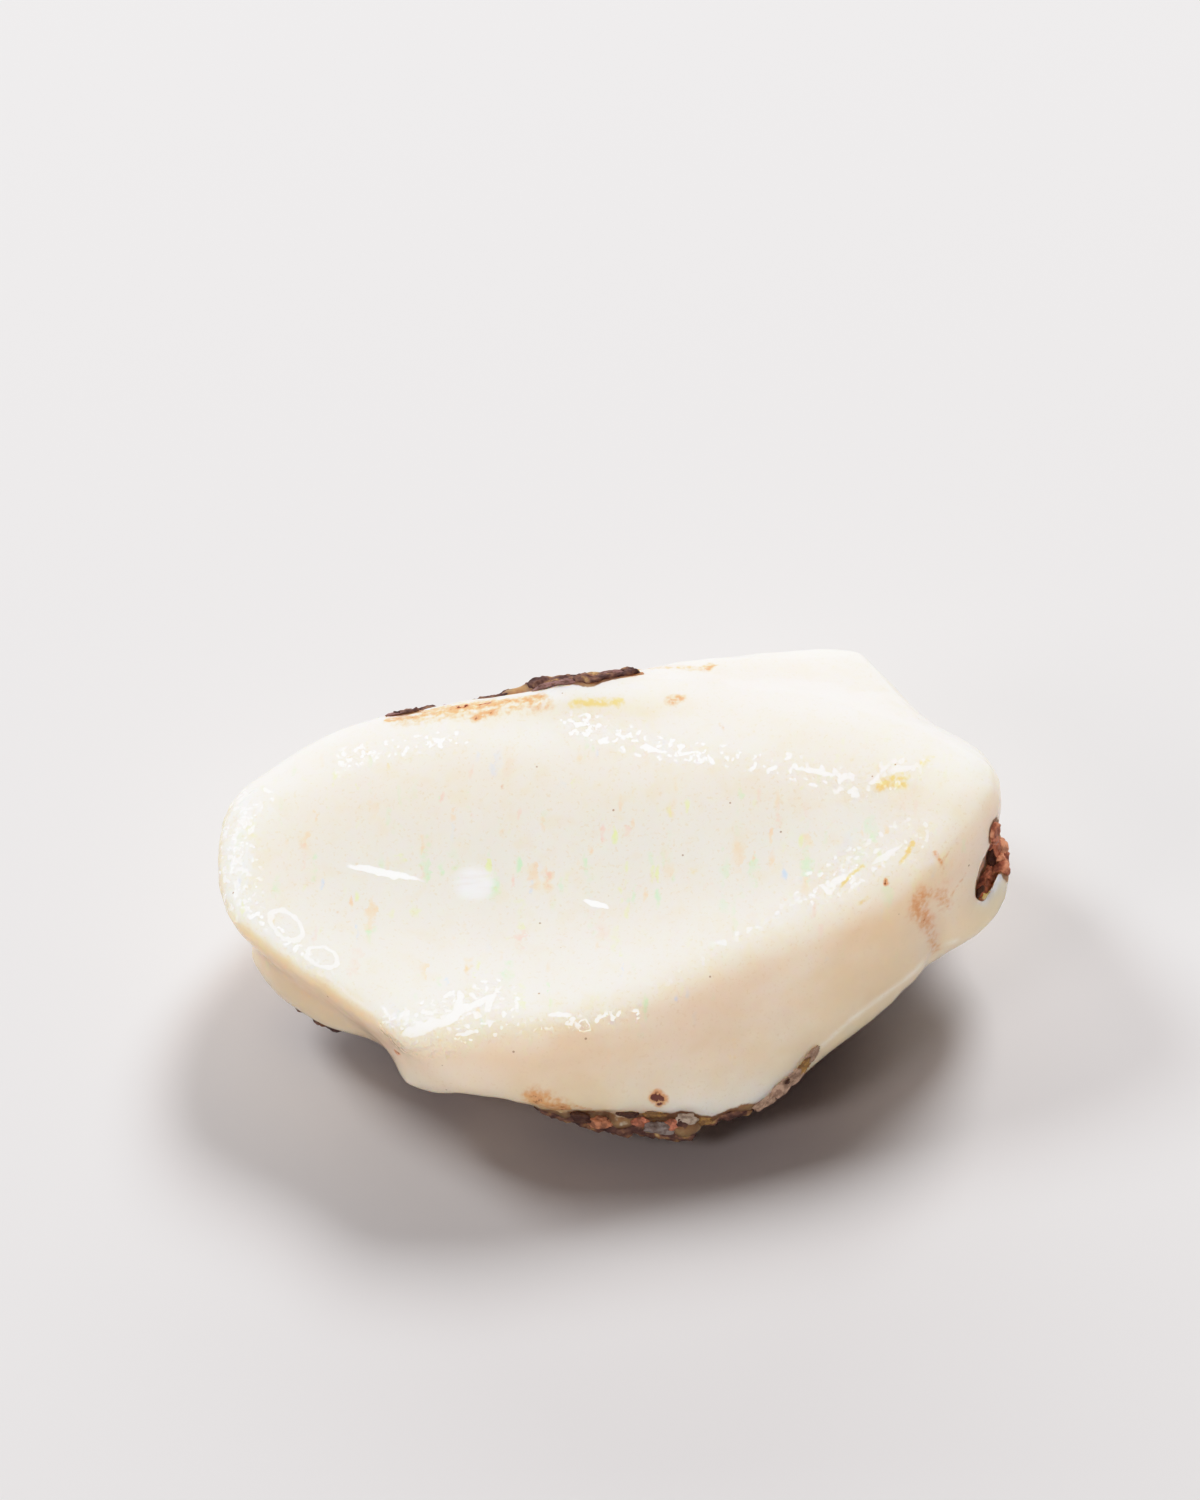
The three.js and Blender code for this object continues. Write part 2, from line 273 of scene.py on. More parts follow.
# Iron stains: orange along the crest, and spots, streaks and a ring at the right end.
rust_lines = [
    (-15.2, 17.1, -4.9, 18.3, 1.0, 0.6),
    (-16.0, 17.2, -13.4, 17.6, 0.5, 0.95),
    (-13.1, 17.8, -8.8, 18.4, 1.1, 1.0),
    (-9.2, 18.3, -5.3, 18.8, 0.8, 0.95),
    (-10.0, 17.3, -8.5, 17.8, 0.55, 0.98),
    (6.4, 20.8, 6.9, 21.1, 0.55, 0.9),
    (4.0, 18.6, 4.7, 18.8, 0.5, 0.95),
    (-1.0, 20.4, 5.4, 20.9, 0.7, 0.7),
    (-5.6, -9.6, -3.7, -10.3, 1.1, 1.0),
    (-3.7, -10.3, -1.0, -10.6, 0.5, 0.6),
    (7.5, 17.0, 7.9, 16.1, 0.2, 0.6),
    (22.7, 7.8, 23.2, 7.1, 0.22, 0.9),
    (23.7, 7.8, 23.2, 7.1, 0.18, 0.7),
    (23.2, 7.1, 23.3, 6.6, 0.2, 0.7),
    (21.8, 4.6, 21.5, 3.7, 1.15, 0.8),
    (21.7, 4.8, 23.2, 4.9, 0.9, 0.6),
    (21.5, 3.7, 22.2, 2.9, 1.0, 0.75),
    (23.2, 4.8, 23.5, 4.1, 0.9, 0.6),
    (22.2, 2.9, 22.8, 0.9, 0.8, 0.6),
    (23.1, 6.7, 23.7, 5.1, 0.8, 0.35),
    (24.9, 6.3, 23.7, 4.6, 0.13, 0.8),
    (23.7, 4.6, 23.0, 4.0, 0.13, 0.8),
    (21.9, 2.9, 22.0, 2.9, 0.16, 1.5),
    (3.0, -9.5, 3.3, -9.8, 0.5, 1.8),
    (-15.5, -6.3, -15.3, -6.4, 0.22, 1.5),
    (19.2, 5.8, 19.3, 5.6, 0.18, 1.6),
    (-2.7, -10.2, -1.7, -10.4, 0.22, 0.75),
    (-19.8, 3.7, -19.7, 3.6, 0.15, 1.0),
    (-8.0, 12.6, -7.9, 12.4, 0.18, 0.9),
]
keep_on(opal, "rust", marked(points, rust_lines))
ochre_lines = [
    (-2.9, 18.4, 0.4, 18.5, 0.5, 0.8),
    (5.4, 6.6, 6.1, 6.2, 0.4, 0.5),
    (18.8, 12.5, 20.5, 13.2, 0.6, 0.8),
    (20.5, 12.6, 19.1, 12.9, 0.5, 0.7),
    (21.7, 14.1, 22.5, 14.5, 0.5, 0.6),
    (21.2, 8.5, 20.8, 7.8, 0.22, 1.2),
    (20.8, 7.8, 20.3, 7.0, 0.18, 0.9),
    (16.1, 5.4, 16.9, 6.3, 0.16, 1.1),
    (16.9, 6.3, 17.6, 6.8, 0.25, 0.8),
    (18.8, 6.8, 19.2, 7.1, 0.3, 0.6),
    (17.3, 4.1, 18.0, 4.6, 0.25, 0.6),
    (19.3, 8.8, 20.1, 9.3, 0.6, 0.35),
    (-4.9, -10.3, -3.7, -10.6, 0.6, 0.7),
    (-6.3, -9.6, -3.9, -10.3, 0.6, 0.5),
    (8.6, -5.5, 8.3, -7.3, 0.7, 0.4),
    (-8.5, -7.6, -3.9, -8.0, 1.6, 0.25),
    (-26.5, 2.3, -23.4, -0.9, 0.7, 0.4),
    (-22.3, -2.0, -16.6, -5.9, 0.9, 0.4),
]
keep_on(opal, "ochre", marked(points, ochre_lines))

# Host rock is grown onto the underside, the upper back and into the cleft. Each patch is a line between two
# places on the stone, with its half width.
rock_lines = [
    ((-4.6, -15.9, 3.9), (-1.3, -16.0, 2.4), 1.2),
    ((0.2, -16.1, 2.5), (4.5, -16.4, 2.1), 1.5),
    ((6.5, -15.9, 2.8), (8.8, -15.4, 3.0), 0.9),
    ((10.9, -12.7, 2.9), (13.2, -11.1, 3.9), 1.2),
    ((-16.1, 10.8, 12.1), (-7.2, 12.5, 13.2), 1.3),
    ((-5.5, 13.1, 13.7), (0.7, 14.2, 13.4), 1.3),
    ((-13.6, 13.0, 10.8), (-9.5, 13.7, 9.4), 1.5),
    ((-9.5, 13.8, 9.4), (-5.5, 14.3, 11.2), 2.7),
    ((-5.0, 14.4, 11.4), (-1.2, 14.6, 8.8), 1.1),
    ((-15.3, -4.7, 2.2), (-11.1, 2.2, 1.1), 2.5),
]
# In the view, it fills the cleft at the right end, and shows along the crest.
cleft_lines = [
    (26.9, 9.3, 27.1, 8.1, 0.9, 1.3),
    (27.2, 8.1, 27.4, 6.8, 1.0, 1.3),
    (26.8, 6.7, 25.7, 4.8, 0.7, 1.2),
]
crest_lines = [
    (-5.2, 19.5, -1.7, 20.0, 0.9, 1.15),
    (-1.7, 20.0, 1.5, 20.5, 0.65, 1.1),
    (-15.5, 17.7, -14.1, 17.9, 0.65, 1.1),
]
# How rocky each point is, from 0 to 1: most in the middle of a patch, with a ragged edge. Underneath, where
# the view doesn't reach, the rock comes and goes in wide blotches.
PATCH_MIDDLE, PATCH_FALL = 1.35, 0.7
BLOTCH_WIDTH, BLOTCH_MIDDLE, BLOTCH_RANGE = 6.0, 0.85, 0.5
RAGGED_WIDTH, RAGGED_SHARE = 1.2, 0.22
rocky = marked(points, cleft_lines + crest_lines)
for start, end, half_width in rock_lines:
    rocky = np.maximum(rocky, PATCH_MIDDLE - PATCH_FALL * near_line(points, start, end) / half_width)
facing = normals @ -np.array(view_way)
underneath = ease(normals[:, 2], -0.45, -0.8) * ease(points[:, 2], 6, 3) * ease(facing, -0.1, -0.35)
blotches = BLOTCH_MIDDLE + BLOTCH_RANGE * grain(points, BLOTCH_WIDTH, seed=4)
rocky = np.maximum(rocky, underneath * blotches)
rocky = np.clip(rocky + RAGGED_SHARE * grain(points, RAGGED_WIDTH, seed=3), 0, 1)
keep_on(opal, "rocky", rocky)


def make_material(name, colour, roughness):
    """A new material and its shader. Its nodes read the piece in millimetres."""
    material = bpy.data.materials.new(name)
    material.use_nodes = True
    shader = material.node_tree.nodes["Principled BSDF"]
    shader.inputs["Base Color"].default_value = (*colour, 1)
    shader.inputs["Roughness"].default_value = roughness
    return material, shader


def add_node(material, kind, settings=None, **inputs):
    """A new node. An input is named, or counted from i0, and is a number, a colour or another output."""
    made = material.node_tree.nodes.new(kind)
    for name, value in (settings or {}).items():
        setattr(made, name, value)
    for name, value in inputs.items():
        socket = made.inputs[int(name[1:])] if name[0] == "i" and name[1:].isdigit() else made.inputs[name]
        if isinstance(value, bpy.types.NodeSocket):
            material.node_tree.links.new(value, socket)
        else:
            socket.default_value = value
    return made


def join(material, output, socket):
    material.node_tree.links.new(output, socket)


def in_millimetres(material, stretch=(1, 1, 1)):
    """The place on the piece, in millimetres, with the pattern drawn out by the stretch."""
    coordinates = add_node(material, "ShaderNodeTexCoord")
    scale = tuple(1000 / value for value in stretch)
    place = add_node(material, "ShaderNodeMapping", Vector=coordinates.outputs["Object"], Scale=scale)
    return place.outputs["Vector"]


def cloud(material, length, detail=3.0, where=None):
    """Soft noise with bumps of that many millimetres."""
    where = where or in_millimetres(material)
    made = add_node(material, "ShaderNodeTexNoise", Vector=where, Scale=1 / length, Detail=detail)
    return made.outputs["Fac"]


def stepped(material, value, start, end):
    """0 where the value is below start and 1 where it is above end."""
    made = add_node(material, "ShaderNodeMapRange", {"interpolation_type": "SMOOTHSTEP"}, Value=value)
    made.inputs["From Min"].default_value = start
    made.inputs["From Max"].default_value = end
    return made.outputs["Result"]


def times(material, a, b):
    return add_node(material, "ShaderNodeMath", {"operation": "MULTIPLY"}, i0=a, i1=b).outputs[0]


def plus(material, a, b):
    return add_node(material, "ShaderNodeMath", {"operation": "ADD"}, i0=a, i1=b).outputs[0]


def over(material, under, top, cover):
    """The top colour laid over the one under it. A Mix node's colours are its sockets 6 and 7, and 2 out."""
    made = add_node(material, "ShaderNodeMix", {"data_type": "RGBA"}, Factor=cover)
    for value, socket in ((under, made.inputs[6]), (top, made.inputs[7])):
        if isinstance(value, bpy.types.NodeSocket):
            join(material, value, socket)
        else:
            socket.default_value = (*value, 1)
    return made.outputs[2]


def kept(material, name):
    """A number kept on the piece's points."""
    return add_node(material, "ShaderNodeAttribute", {"attribute_name": name}).outputs["Fac"]


def ramp(material, value, stops, steps=False):
    """A colour for each value from 0 to 1, out of a row of stops: a place and its colour."""
    made = add_node(material, "ShaderNodeValToRGB", Fac=value)
    made.color_ramp.interpolation = "CONSTANT" if steps else "LINEAR"
    elements = made.color_ramp.elements
    elements.remove(elements[1])
    elements[0].position = stops[0][0]
    elements[0].color = (*stops[0][1], 1)
    for place, colour in stops[1:]:
        elements.new(place).color = (*colour, 1)
    return made.outputs["Color"]


# The colours of the opal, from the body of the stone to its stains, with the painted shade, glow and
# highlight among them.
CREAM = (0.90, 0.795, 0.695)
MILK = (0.83, 0.80, 0.725)
SHADE_HONEY = (0.74, 0.54, 0.29)
CHALK = (0.91, 0.865, 0.80)
SCRATCH_WHITE = (0.93, 0.92, 0.90)
PAINTED_EDGE_GLOW = (0.97, 0.93, 0.84)
MOTTLE_TAN = (0.86, 0.68, 0.46)
FRECKLE_BROWN = (0.76, 0.60, 0.42)
OCHRE_YELLOW = (0.88, 0.60, 0.16)
RUST_ORANGE = (0.70, 0.32, 0.13)
RUST_CORE = (0.13, 0.03, 0.018)
PAINTED_HIGHLIGHT_WHITE = (0.97, 0.97, 0.96)
SPECK_BROWN = (0.25, 0.13, 0.06)

# How rough the polished opal is, and where the rock has stained it.
POLISHED, STAINED = 0.14, 0.6

opal_material, opal_shader = make_material("milky_opal", CREAM, POLISHED)
colour = over(opal_material, CREAM, MILK, kept(opal_material, "milky"))
# Painted shade: honey laid on the faces turned sideways or down.
colour = over(opal_material, colour, SHADE_HONEY, times(opal_material, kept(opal_material, "painted_shade"), 0.7))
clouds = stepped(opal_material, cloud(opal_material, 7.0), 0.4, 0.7)
colour = over(opal_material, colour, CHALK, times(opal_material, clouds, 0.3))
wisp_place = in_millimetres(opal_material, stretch=(1, 2.2, 1.4))
wisps = stepped(opal_material, cloud(opal_material, 1.6, 5.0, wisp_place), 0.5, 0.62)
scratches = times(opal_material, wisps, kept(opal_material, "scuffed"))
colour = over(opal_material, colour, SCRATCH_WHITE, scratches)
# Painted light: a bright glow painted on the thin edges.
colour = over(opal_material, colour, PAINTED_EDGE_GLOW, kept(opal_material, "painted_glow"))

# The play of colour: faint upright flecks of green, lime, orange, pink and blue, deep in the milk.
FLECK_HUES = [(0.0, (0.40, 0.90, 0.45)), (0.32, (0.75, 0.93, 0.28)), (0.58, (1.0, 0.55, 0.28)),
              (0.78, (1.0, 0.50, 0.46)), (0.92, (0.40, 0.66, 1.0))]
FLECK_WARP = 1.6
fleck_warp = add_node(opal_material, "ShaderNodeTexNoise", Vector=in_millimetres(opal_material), Scale=1.4,
                      Detail=3.0)
# Small flecks and large ones: their size across, back and up, the share of places that stay bare, and their
# strength.
FLECK_KINDS = [((0.42, 1.4, 1.2), 0.86, 0.85), ((0.95, 2.4, 2.0), 0.80, 0.58)]
for stretch, share, strength in FLECK_KINDS:
    warped = add_node(opal_material, "ShaderNodeVectorMath", {"operation": "MULTIPLY_ADD"},
                      i0=fleck_warp.outputs["Color"], i1=(FLECK_WARP,) * 3,
                      i2=in_millimetres(opal_material, stretch))
    cells = add_node(opal_material, "ShaderNodeTexVoronoi", Vector=warped.outputs["Vector"], Scale=1.0)
    dice = add_node(opal_material, "ShaderNodeSeparateColor", Color=cells.outputs["Color"])
    here = stepped(opal_material, dice.outputs["Red"], share, share + 0.04)
    core = stepped(opal_material, cells.outputs["Distance"], 0.7, 0.15)
    patchy = stepped(opal_material, cloud(opal_material, 4.0, 2.0), 0.38, 0.6)
    cover = times(opal_material, times(opal_material, here, core), kept(opal_material, "playful"))
    hue = ramp(opal_material, dice.outputs["Green"], FLECK_HUES, steps=True)
    cover = times(opal_material, times(opal_material, cover, patchy), strength)
    colour = over(opal_material, colour, hue, cover)

# The opal is faintly mottled, and freckled with pale brown.
mottle = stepped(opal_material, cloud(opal_material, 1.6, 4.0), 0.48, 0.7)
colour = over(opal_material, colour, MOTTLE_TAN, times(opal_material, mottle, 0.22))
freckle = stepped(opal_material, cloud(opal_material, 0.24, 2.0), 0.57, 0.72)
colour = over(opal_material, colour, FRECKLE_BROWN, times(opal_material, freckle, 0.4))

# Stains: ochre and rust, broken up by fine noise.
fine = cloud(opal_material, 0.4, detail=4.0)
ochre = stepped(opal_material, times(opal_material, kept(opal_material, "ochre"), fine), 0.15, 0.45)
colour = over(opal_material, colour, OCHRE_YELLOW, times(opal_material, ochre, 0.75))
rust = times(opal_material, kept(opal_material, "rust"), fine)
rust_cover = times(opal_material, stepped(opal_material, rust, 0.12, 0.5), 0.9)
colour = over(opal_material, colour, RUST_ORANGE, rust_cover)
colour = over(opal_material, colour, RUST_CORE, stepped(opal_material, rust, 0.5, 0.7))

# A painted highlight: a small streaked white patch is painted into the dish where a lamp's reflection shows.
highlight_place = seen_at(stone_surface, -9.9, 5.6)[0]
HIGHLIGHT_HALF_SIZE = (1.9, 1.7, 1.7)
highlight_local = add_node(opal_material, "ShaderNodeMapping", {"vector_type": "TEXTURE"},
                       Vector=in_millimetres(opal_material), Location=tuple(highlight_place),
                       Scale=HIGHLIGHT_HALF_SIZE)
highlight_out = add_node(opal_material, "ShaderNodeVectorMath", {"operation": "LENGTH"},
                     i0=highlight_local.outputs["Vector"])
highlight_streak_place = in_millimetres(opal_material, stretch=(6, 0.7, 1))
highlight_streaks = stepped(opal_material, cloud(opal_material, 0.5, 2.0, highlight_streak_place), 0.3, 0.65)
highlight_cover = stepped(opal_material, highlight_out.outputs["Value"], 1.0, 0.35)
highlight_cover = times(opal_material, highlight_cover, plus(opal_material, highlight_streaks, 0.45))
# The painted highlight laid over the colour.
colour = over(opal_material, colour, PAINTED_HIGHLIGHT_WHITE, times(opal_material, highlight_cover, 0.75))

# Tiny dark specks.
speck_cells = add_node(opal_material, "ShaderNodeTexVoronoi", Vector=in_millimetres(opal_material), Scale=0.6)
speck_dice = add_node(opal_material, "ShaderNodeSeparateColor", Color=speck_cells.outputs["Color"])
speck_here = stepped(opal_material, speck_dice.outputs["Red"], 0.7, 0.75)
speck = times(opal_material, stepped(opal_material, speck_cells.outputs["Distance"], 0.07, 0.035), speck_here)
colour = over(opal_material, colour, SPECK_BROWN, times(opal_material, speck, 0.7))

# Under the edges of the host rock the opal is stained brown.
rock_stain = stepped(opal_material, plus(opal_material, kept(opal_material, "rocky"),
                                         times(opal_material, fine, 0.3)), 0.42, 0.6)
stain_hues = [(0.0, (0.10, 0.04, 0.02)), (0.5, (0.28, 0.13, 0.06)), (1.0, (0.52, 0.31, 0.13))]
colour = over(opal_material, colour, ramp(opal_material, cloud(opal_material, 0.9), stain_hues), rock_stain)
join(opal_material, colour, opal_shader.inputs["Base Color"])

# Fine relief: crinkles where the stone is hammered.
crinkles = times(opal_material, cloud(opal_material, 0.7, 2.0), kept(opal_material, "hammered"))
waves = times(opal_material, cloud(opal_material, 0.3, 1.0), 0.012)
relief_height = plus(opal_material, times(opal_material, crinkles, 0.6), waves)
bump = add_node(opal_material, "ShaderNodeBump", Height=relief_height, Strength=0.8, Distance=0.25 * MM)
relief = bump.outputs["Normal"]

# Scratches, chips and burst bubbles are small facets that all face the same way, halfway between the viewer
# and the small lamp above the back. Each has two ends in the view, its half width, and 1 for a bubble, which
# is only a ring. Crumbs of the same facets lie where the stone is hammered.
SMALL_LAMP_WAY = Vector((-0.415, 0.394, 0.822))
facet_way = (SMALL_LAMP_WAY - view_way).normalized()
FACET_WARP = 0.55
FACET_REACH = 0.6
facet_noise = add_node(opal_material, "ShaderNodeTexNoise", Vector=in_millimetres(opal_material), Scale=1.7,
                       Detail=2.0)
facet_place = add_node(opal_material, "ShaderNodeVectorMath", {"operation": "MULTIPLY_ADD"},
                       i0=facet_noise.outputs["Color"], i1=(FACET_WARP,) * 3,
                       i2=in_millimetres(opal_material))
sparkle = times(opal_material, stepped(opal_material, cloud(opal_material, 0.5, 4.0), 0.555, 0.595),
                stepped(opal_material, kept(opal_material, "hammered"), 0.3, 0.65))


def faced(under, way, cover):
    """The way that the surface faces, turned to another way where that covers it."""
    mixed = add_node(opal_material, "ShaderNodeMix", {"data_type": "VECTOR"}, i0=cover, i4=under, i5=way)
    return mixed.outputs[1]


relief = faced(relief, facet_way, sparkle)
facets = [
    (-19.5, 7.0, -13.1, 5.7, 0.3, 0),
    (-2.4, 4.5, -0.2, 3.8, 0.26, 0),
    (-15.3, -5.2, -12.4, -4.4, 0.45, 0),
    (-12.6, -4.8, -10.2, -2.7, 0.42, 0),
    (-10.8, -3.5, -8.4, -2.2, 0.34, 0),
    (-11.5, -5.2, -9.7, -4.9, 0.2, 0),
    (-14.9, -6.2, -12.6, -6.1, 0.18, 0),
    (-11.3, -4.2, -10.8, -1.8, 0.3, 0),
    (-9.2, -3.7, -8.4, -2.0, 0.26, 0),
    (-13.9, -4.4, -11.5, -4.2, 0.34, 0),
    (19.3, 13.5, 21.5, 13.9, 0.3, 0),
    (14.7, 5.0, 16.7, 6.4, 0.3, 0),
    (18.0, 6.8, 20.7, 8.5, 0.25, 0),
    (-27.1, 11.1, -25.8, 12.1, 0.3, 0),
    (-25.0, 12.2, -24.0, 11.8, 0.16, 0),
    (-24.1, 3.7, -22.4, 1.7, 0.95, 1),
    (-21.7, 0.9, -19.7, -0.2, 0.8, 1),
    (-2.6, -4.4, -1.8, -4.6, 0.4, 1),
    (-4.9, -3.7, -2.8, -3.7, 0.2, 0),
    (1.8, 15.4, 3.8, 14.8, 0.22, 0),
    (13.0, 13.8, 15.7, 13.2, 0.22, 0),
]
for x0, y0, x1, y1, half_width, is_ring in facets:
    start, end = (Vector(seen_at(stone_surface, *spot)[0]) for spot in ((x0, y0), (x1, y1)))
    middle, normal = seen_at(stone_surface, (x0 + x1) / 2, (y0 + y1) / 2)
    along = (end - start).normalized()
    beside = normal.cross(along)
    turned = Matrix((along, beside, along.cross(beside))).transposed().to_euler()
    half_length = (end - start).length / 2
    local = add_node(opal_material, "ShaderNodeMapping", {"vector_type": "TEXTURE"},
                     Vector=facet_place.outputs["Vector"], Location=tuple(middle + FACET_WARP / 2),
                     Rotation=turned, Scale=(half_length, half_width, max(half_width, FACET_REACH)))
    out = add_node(opal_material, "ShaderNodeVectorMath", {"operation": "LENGTH"}, i0=local.outputs["Vector"])
    within = out.outputs["Value"]
    if is_ring:
        off = add_node(opal_material, "ShaderNodeMath", {"operation": "SUBTRACT"}, i0=within, i1=1)
        away = add_node(opal_material, "ShaderNodeMath", {"operation": "ABSOLUTE"}, i0=off.outputs[0])
        cover = stepped(opal_material, away.outputs[0], 0.2, 0.08)
    else:
        cover = stepped(opal_material, within, 1.0, 0.75)
    relief = faced(relief, facet_way, cover)
join(opal_material, relief, opal_shader.inputs["Normal"])
roughness = add_node(opal_material, "ShaderNodeMapRange", Value=rock_stain)
roughness.inputs["To Min"].default_value = POLISHED
roughness.inputs["To Max"].default_value = STAINED
join(opal_material, roughness.outputs["Result"], opal_shader.inputs["Roughness"])
opal_shader.inputs["Subsurface Weight"].default_value = 1.0
opal_shader.inputs["Subsurface Radius"].default_value = (1.0, 0.72, 0.42)
opal_shader.inputs["Subsurface Scale"].default_value = 6 * MM
opal_shader.inputs["IOR"].default_value = 1.45
opal.data.materials.append(opal_material)
opal.data.polygons.foreach_set("use_smooth", [True] * len(opal.data.polygons))


def belongs_to_opal(piece):
    """The piece rides on the part and stands for its only solid."""
    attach(piece, "root")
    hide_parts("opal")


belongs_to_opal(opal)


# The host rock. A thin, rough crust of brown ironstone, left on the opal where it came away from its seam.
# It is the opal's own surface where that is rocky, raised, thickened and roughened. In the cleft it is red.
ROCK_VOXEL = 0.2 * MM
ROCK_THICKNESS = 0.6 * MM
ROCK_EDGE = 0.6
CRUST_HEIGHT = 0.22
LUMP_WIDTH, LUMP_HEIGHT = 1.3, 0.3
# The roughness of its face: the height and width of its bumps in millimetres, and their seed.
ROCK_ROUGHNESS = [(0.16, 0.7, 6), (0.08, 0.3, 7)]

bpy.ops.object.select_all(action="DESELECT")
rock = bpy.data.objects.new("host_rock", opal.data.copy())
rock.data.materials.clear()
bpy.context.collection.objects.link(rock)
bpy.context.view_layer.objects.active = rock
rock.select_set(True)
lumps = np.abs(grain(points, LUMP_WIDTH, seed=5))
crust_height = ease(rocky, 0.55, 0.9) * (CRUST_HEIGHT + LUMP_HEIGHT * lumps)
set_points(rock, points + normals * crust_height[:, None])
bpy.ops.object.mode_set(mode="EDIT")
bpy.ops.mesh.select_mode(type="VERT")
bpy.ops.mesh.select_all(action="DESELECT")
bpy.ops.object.mode_set(mode="OBJECT")
rock.data.vertices.foreach_set("select", rocky < ROCK_EDGE)
bpy.ops.object.mode_set(mode="EDIT")
bpy.ops.mesh.delete(type="VERT")
bpy.ops.object.mode_set(mode="OBJECT")
finish_with(rock, "SOLIDIFY", thickness=ROCK_THICKNESS, offset=-1.0)
finish_with(rock, "REMESH", mode="VOXEL", voxel_size=ROCK_VOXEL, use_smooth_shade=True)
rock_points = points_of(rock)
rough = sum(height * grain(rock_points, width, seed=seed) for height, width, seed in ROCK_ROUGHNESS)
set_points(rock, rock_points + normals_of(rock) * rough[:, None])

rock_material, rock_shader = make_material("ironstone", (0.2, 0.1, 0.05), 0.75)
ROCK_HUES = [(0.0, (0.030, 0.013, 0.013)), (0.30, (0.075, 0.032, 0.026)), (0.50, (0.15, 0.07, 0.048)),
             (0.66, (0.25, 0.13, 0.06)), (0.82, (0.40, 0.25, 0.10)), (1.0, (0.52, 0.38, 0.24))]
rock_clouds = plus(rock_material, times(rock_material, cloud(rock_material, 0.7, 5.0), 2.1), -0.66)
CLEFT_HUES = [(0.0, (0.10, 0.025, 0.015)), (0.35, (0.30, 0.09, 0.05)), (0.65, (0.60, 0.23, 0.13)),
              (1.0, (0.8, 0.4, 0.25))]
keep_on(rock, "red", marked(rock_points, cleft_lines))
reddened = stepped(rock_material, kept(rock_material, "red"), 0.2, 0.5)
rock_colour = over(rock_material, ramp(rock_material, rock_clouds, ROCK_HUES),
                   ramp(rock_material, rock_clouds, CLEFT_HUES), reddened)
join(rock_material, rock_colour, rock_shader.inputs["Base Color"])
rock_bump = add_node(rock_material, "ShaderNodeBump", Height=cloud(rock_material, 0.2, 4.0), Strength=0.7,
                     Distance=0.15 * MM)
join(rock_material, rock_bump.outputs["Normal"], rock_shader.inputs["Normal"])
rock.data.materials.append(rock_material)
belongs_to_opal(rock)


# Fragments in the rock. Single grains, bigger than the rest of the crust, stick out of its edge: orange,
# grey, golden, beige and lilac ones along the front, red-brown ones that fill the cleft, and purple-brown
# ones on the upper back.
ORANGE = (0.48, 0.19, 0.10)
GREY = (0.23, 0.19, 0.18)
GOLD = (0.30, 0.16, 0.045)
BEIGE = (0.38, 0.25, 0.18)
LILAC = (0.24, 0.19, 0.20)
DARK = (0.045, 0.014, 0.010)
RED_BROWN = (0.50, 0.17, 0.10)
RED_LIT = (0.78, 0.33, 0.19)
PURPLE = (0.22, 0.11, 0.10)
# Each fragment's place in the view, its half lengths across, in depth and up, its turn in degrees and its
# colour.
fragments = [
    (-1.0, -11.3, (0.9, 0.5, 0.45), 0, ORANGE),
    (-2.4, -10.9, (0.8, 0.45, 0.4), -15, DARK),
    (3.1, -11.7, (1.0, 0.5, 0.42), -6, GREY),
    (1.0, -10.7, (0.8, 0.4, 0.3), 5, DARK),
    (2.7, -10.7, (0.8, 0.4, 0.3), -5, GOLD),
    (5.1, -11.1, (0.8, 0.45, 0.42), 0, (0.45, 0.36, 0.29)),
    (4.1, -11.5, (0.45, 0.35, 0.4), 0, RED_BROWN),
    (1.8, -11.3, (0.7, 0.4, 0.35), 0, RED_BROWN),
    (6.5, -11.2, (0.6, 0.35, 0.3), 15, GOLD),
    (8.6, -11.1, (0.9, 0.45, 0.35), 15, LILAC),
    (10.8, -9.7, (1.0, 0.5, 0.45), 40, BEIGE),
    (11.8, -8.8, (1.1, 0.5, 0.5), 45, (0.46, 0.30, 0.22)),
    (12.8, -8.0, (0.9, 0.5, 0.5), 45, BEIGE),
    (12.2, -8.5, (0.5, 0.66, 0.28), 45, DARK),
    (13.4, -7.3, (0.8, 0.5, 0.4), 50, GOLD),
    (14.0, -6.5, (0.8, 0.4, 0.35), 50, BEIGE),
    (26.9, 9.0, (0.32, 0.6, 0.65), 0, RED_BROWN),
    (27.1, 8.2, (0.5, 0.7, 0.7), 0, RED_BROWN),
    (26.7, 7.4, (0.42, 0.7, 0.8), 5, DARK),
    (27.3, 7.3, (0.5, 0.6, 0.6), 0, RED_LIT),
    (27.0, 6.5, (0.75, 0.6, 0.6), 35, RED_LIT),
    (26.5, 6.1, (0.55, 0.6, 0.8), -20, RED_BROWN),
    (27.4, 7.8, (0.5, 0.5, 0.9), 0, RED_LIT),
    (27.1, 6.5, (0.9, 0.45, 0.45), 48, RED_LIT),
    (26.2, 5.4, (0.6, 0.4, 0.5), 50, RED_BROWN),
    (25.7, 4.8, (0.75, 0.4, 0.25), 50, DARK),
    (-4.9, 19.5, (0.9, 0.5, 0.28), 10, PURPLE),
    (-3.5, 19.8, (0.9, 0.5, 0.28), 8, PURPLE),
    (-1.9, 20.1, (0.8, 0.5, 0.35), 5, (0.30, 0.12, 0.06)),
    (-0.2, 20.4, (0.9, 0.5, 0.3), 5, PURPLE),
    (-15.3, 17.7, (0.9, 0.5, 0.2), 12, PURPLE),
]
FRAGMENT_ROUGHNESS = 0.42

